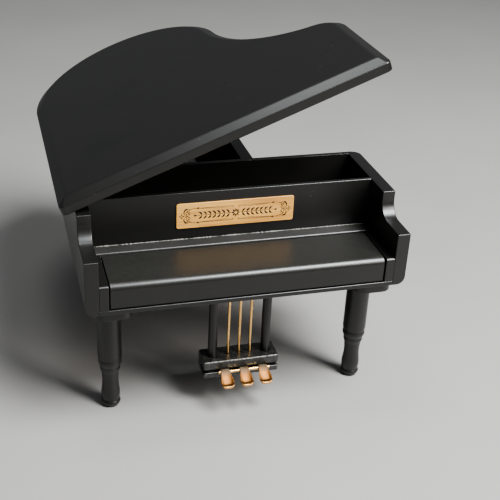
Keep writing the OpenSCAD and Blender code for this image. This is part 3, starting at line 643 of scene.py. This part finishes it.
def pedal(name, node):
    """Brass pedal: tang, sleeve round the crossbar and a dished blade with a rolled toe."""
    low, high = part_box(node)
    bar_low, bar_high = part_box("pedal_crossbar")
    bar = (bar_low + bar_high) / 2
    bar_r = (bar_high.z - bar_low.z) / 2
    sleeve_r = high.z - bar.z
    middle = (low.x + high.x) / 2
    toe_half = (high.x - low.x) / 2
    root_half = 2.55 * mm
    bm = bmesh.new()

    # Blade from the sleeve (t = 0) to the toe (t = 1), in cross sections
    steps = 22
    sheet = 0.75 * mm
    dished_top = ((-1, 0), (-0.88, 0), (-0.72, -0.55), (-0.35, -0.95), (0.35, -0.95),
                  (0.72, -0.55), (0.88, 0), (1, 0))
    flat_back = ((1.01, 0.5), (0.94, 1), (0, 1), (-0.94, 1), (-1.01, 0.5))
    blade = []
    root_y = bar.y + 0.9 * mm
    for i in range(steps + 1):
        t = i / steps
        y = root_y + (low.y - root_y) * t
        widen = min(max((t - 0.12) / 0.62, 0), 1)
        half = root_half + (toe_half - root_half) * widen * widen * (3 - 2 * widen)
        if t > 0.8:
            half *= math.sqrt(1 - 0.6 * ((t - 0.8) / 0.2) ** 2)
        fall = max((t - 0.16) / 0.84, 0)
        lip = max((t - 0.82) / 0.18, 0)
        top = high.z - 0.15 * mm + (low.z + 1.55 * mm - high.z) * fall + 0.45 * mm * lip
        thick = sheet + (top - low.z - sheet) * lip ** 1.5
        dish = 0.55 * mm * min(max((t - 0.15) / 0.6, 0), 1) * (1 - 0.6 * lip)
        loop = [Vector((middle + half * x, y, top + dish * z)) for x, z in dished_top]
        loop += [Vector((middle + half * x, y, top - thick * z)) for x, z in flat_back]
        blade.append(loop)
    loft(bm, blade)

    # Sleeve round the crossbar
    sides = 28
    end, chamfer = 2.6 * mm, 0.12 * mm
    turns = [2 * math.pi * k / sides for k in range(sides)]
    sleeve = []
    for x, r in ((-end, bar_r), (-end, sleeve_r - chamfer), (chamfer - end, sleeve_r),
                 (end - chamfer, sleeve_r), (end, sleeve_r - chamfer), (end, bar_r)):
        sleeve.append([Vector((middle + x, bar.y + r * math.cos(a), bar.z + r * math.sin(a)))
                       for a in turns])
    loft(bm, sleeve)

    # Tang from the sleeve into the slot
    tang_half, tang_t = 2.5 * mm, 0.45 * mm
    loft(bm, [[Vector((middle + x * tang_half * narrow, y, bar.z + z * tang_t * narrow))
               for x, z in ((-1, -0.6), (-0.95, -1), (0.95, -1), (1, -0.6),
                            (1, 0.6), (0.95, 1), (-0.95, 1), (-1, 0.6))]
              for y, narrow in ((bar.y, 1), (high.y - 0.3 * mm, 1), (high.y, 0.9))])
    piece = add_piece(name, bm, pedal_brass, "case")
    creases = piece.modifiers.new("smooth", "SUBSURF")
    creases.levels = 1
    creases.render_levels = 1
    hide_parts(node)


for side in ("left", "middle", "right"):
    pedal(f"brass_pedal_{side}", f"pedal_{side}")


# ---- Dust along the foot of the fascia ----

def dust_line():
    """Broken bead of dust and dried glue in the corner between the ledge and the fascia."""
    low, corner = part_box("ledge_strip")
    step = 0.45 * mm
    loops = []
    for i in range(int((corner.x - low.x) / step) + 1):
        x = low.x + i * step
        broad = noise.noise(Vector((x * 130, 0, 0)))
        fine = noise.noise(Vector((x * 900, 5, 0)))
        leg = min(max((0.42 + 0.5 * broad + 0.45 * fine) * mm, 0.03 * mm), 0.85 * mm)
        loops.append([Vector((x, corner.y - leg * back, corner.z + leg * rise))
                      for back, rise in ((0, 0), (1, 0), (0.4, 0.3), (0, 0.7))])
    bm = bmesh.new()
    loft(bm, loops)
    add_piece("ledge_dust", bm, corner_dust, "case")


dust_line()


# ---- Pins of the music cylinder ----

def cylinder_pins():
    """Small steel pins that pluck the comb, set at random in one row for each tooth."""
    low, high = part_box("music_cylinder")
    comb_low, comb_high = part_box("comb")
    middle = (low + high) / 2
    drum_r = (high.z - low.z) / 2
    rows, places, pins_in_row = 18, 40, 9
    margin = 0.6 * mm
    draw = random.Random(5)
    bm = bmesh.new()
    for row in range(rows):
        x = comb_low.x + margin + (comb_high.x - comb_low.x - 2 * margin) * row / (rows - 1)
        for turn in draw.sample(range(places), pins_in_row):
            angle = 2 * math.pi * turn / places
            loops = []
            for r, half in ((drum_r - 0.1 * mm, 0.14 * mm), (drum_r + 0.34 * mm, 0.08 * mm)):
                foot = Vector((x, middle.y + r * math.cos(angle), middle.z + r * math.sin(angle)))
                across = Vector((0, -math.sin(angle), math.cos(angle)))
                along = Vector((1, 0, 0))
                loops.append([foot + along * half, foot + across * half,
                              foot - along * half, foot - across * half])
            loft(bm, loops)
    add_piece("cylinder_pins", bm, brushed_steel, "music_cylinder")


cylinder_pins()


# ---- Painted shade in the cross recesses of the screw heads ----

def islands(mesh):
    """The corners of each separate solid of a mesh, as lists of points in the mesh's order."""
    bm = bmesh.new()
    bm.from_mesh(mesh)
    bmesh.ops.remove_doubles(bm, verts=bm.verts, dist=0.002 * mm)
    seen = set()
    groups = []
    for first in bm.verts:
        if first in seen:
            continue
        seen.add(first)
        todo = [first]
        group = []
        while todo:
            vert = todo.pop()
            group.append(vert.co.copy())
            for edge in vert.link_edges:
                other = edge.other_vert(vert)
                if other not in seen:
                    seen.add(other)
                    todo.append(other)
        groups.append(group)
    bm.free()
    return groups


def painted_recess_shades(node, up):
    """Painted shade: a dark cross on each head of a node's screws, where its recess would be; up is 1
    for heads that face up, else -1.
    """
    proud = 0.012 * mm
    bm = bmesh.new()
    for points in islands(nodes[node].data):
        face_z = max(point.z * up for point in points) * up
        rim = [point for point in points if abs(point.z - face_z) < 0.05 * mm]
        middle = sum(rim, Vector()) / len(rim)
        reach = 0.62 * max((point - middle).length for point in rim)
        for turn in (math.pi / 4, 3 * math.pi / 4):
            along = Vector((math.cos(turn), math.sin(turn), 0))
            side = Vector((-along.y, along.x, 0))
            loops = []
            for share, width in ((-1, 0.05), (-0.3, 0.13), (0.3, 0.13), (1, 0.05)):
                spot = Vector((middle.x, middle.y, face_z)) + along * reach * share
                half = side * reach * width * 2
                lift = Vector((0, 0, proud * up))
                loops.append([spot + half + lift, spot - half + lift,
                              spot - half - lift, spot + half - lift])
            loft(bm, loops)
    add_piece(f"painted_recess_shade_{node}", bm, burnt_line_and_recess_shade, "case")


painted_recess_shades("plate_screws", -1)
painted_recess_shades("movement_screws", -1)
painted_recess_shades("hinge_case_screws", 1)
painted_recess_shades("comb_screws", 1)


# ---- Stage, lights and camera ----

def area_light(name, place, target, size, power, colour):
    """Soft rectangular light at place that faces target, both in metres; power is in watts."""
    data = bpy.data.lights.new(name, "AREA")
    data.shape = "RECTANGLE"
    data.size, data.size_y = size
    data.energy = power
    data.color = colour
    light = bpy.data.objects.new(name, data)
    light.location = place
    light.rotation_euler = (Vector(target) - Vector(place)).to_track_quat("-Z", "Y").to_euler()
    bpy.context.scene.collection.objects.link(light)


def make_floor():
    """Plain pale floor, wide enough to fill the view."""
    mesh = bpy.data.meshes.new("floor")
    half = 4  # metres
    mesh.from_pydata([(-half, -half, 0), (half, -half, 0), (half, half, 0), (-half, half, 0)],
                     [], [(0, 1, 2, 3)])
    floor = bpy.data.objects.new("floor", mesh)
    bpy.context.scene.collection.objects.link(floor)
    s = Shader("pale_floor")
    s.colour(s.colours(s.noise(3), (0.3, (0.27, 0.264, 0.254)), (0.7, (0.29, 0.284, 0.274))))
    s.roughness(s.ramp(s.noise(12), 0.3, 0.55, 0.7, 0.65))
    mesh.materials.append(s.material)


def make_world():
    """Weak even light from all round."""
    world = bpy.data.worlds.new("studio")
    world.use_nodes = True
    background = world.node_tree.nodes["Background"]
    background.inputs["Color"].default_value = (0.88, 0.90, 0.93, 1)
    background.inputs["Strength"].default_value = 0.2
    bpy.context.scene.world = world


def make_camera():
    """Camera at the viewpoint of the reference view: heading, dip and roll in degrees."""
    heading, dip, roll = math.radians(17.03), math.radians(28.64), math.radians(3.03)
    forward = Vector((math.sin(heading) * math.cos(dip), math.cos(heading) * math.cos(dip),
                      -math.sin(dip)))
    level = Vector((math.cos(heading), -math.sin(heading), 0))
    upright = level.cross(forward)
    right = level * math.cos(roll) + upright * math.sin(roll)
    up = upright * math.cos(roll) - level * math.sin(roll)
    data = bpy.data.cameras.new("camera")
    data.lens = 68.97
    data.sensor_width = 36
    data.clip_start = 0.01
    camera = bpy.data.objects.new("camera", data)
    camera.matrix_world = Matrix.Translation((-0.12124, -0.50980, 0.33240)) @ \
        Matrix((right, up, -forward)).transposed().to_4x4()
    bpy.context.scene.collection.objects.link(camera)
    bpy.context.scene.camera = camera


make_floor()
make_world()
make_camera()
area_light("overhead", (0.42, -0.48, 1.02), (0, 0, 0.08), (0.42, 0.62), 34, (0.96, 0.985, 1))
area_light("top", (-0.10, 0.09, 1.1), (0, 0, 0.15), (0.26, 0.26), 2.4, (0.97, 0.99, 1))
area_light("low", (0.66, -0.80, 0.62), (0, 0, 0.05), (0.26, 0.26), 7, (1, 0.95, 0.88))
bpy.context.scene.view_settings.look = "AgX - Medium High Contrast"
